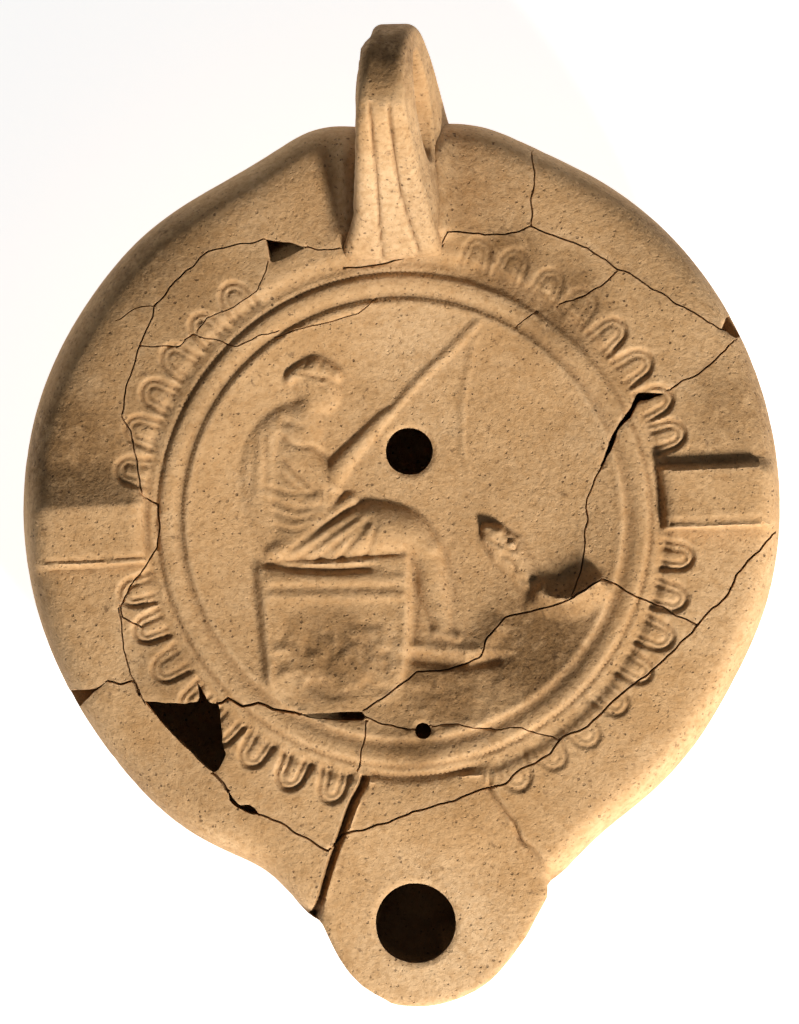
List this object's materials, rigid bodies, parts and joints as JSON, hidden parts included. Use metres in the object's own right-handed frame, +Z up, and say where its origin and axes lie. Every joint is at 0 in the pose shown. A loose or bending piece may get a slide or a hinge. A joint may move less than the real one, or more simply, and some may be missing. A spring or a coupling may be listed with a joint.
{
  "type": "roman oil lamp",
  "caption": "Mould-made clay oil lamp with a round hollow body, framed relief discus, shoulder with stamped tongues, rounded nozzle and pierced handle.",
  "frame": {"origin": "centre of the flat base, on the surface that the lamp stands on", "axes": "+Z up out of the discus, +Y towards the handle, -Y towards the nozzle, +X to the right when the nozzle points at the viewer's feet"},
  "size_m": [0.0846, 0.1078, 0.0446],
  "materials": {
    "fired_clay": "matt, fine, slightly pitted pale buff fired clay"
  },
  "bodies": {
    "root": {"lamp_body": "fired_clay"}
  },
  "joints": []
}
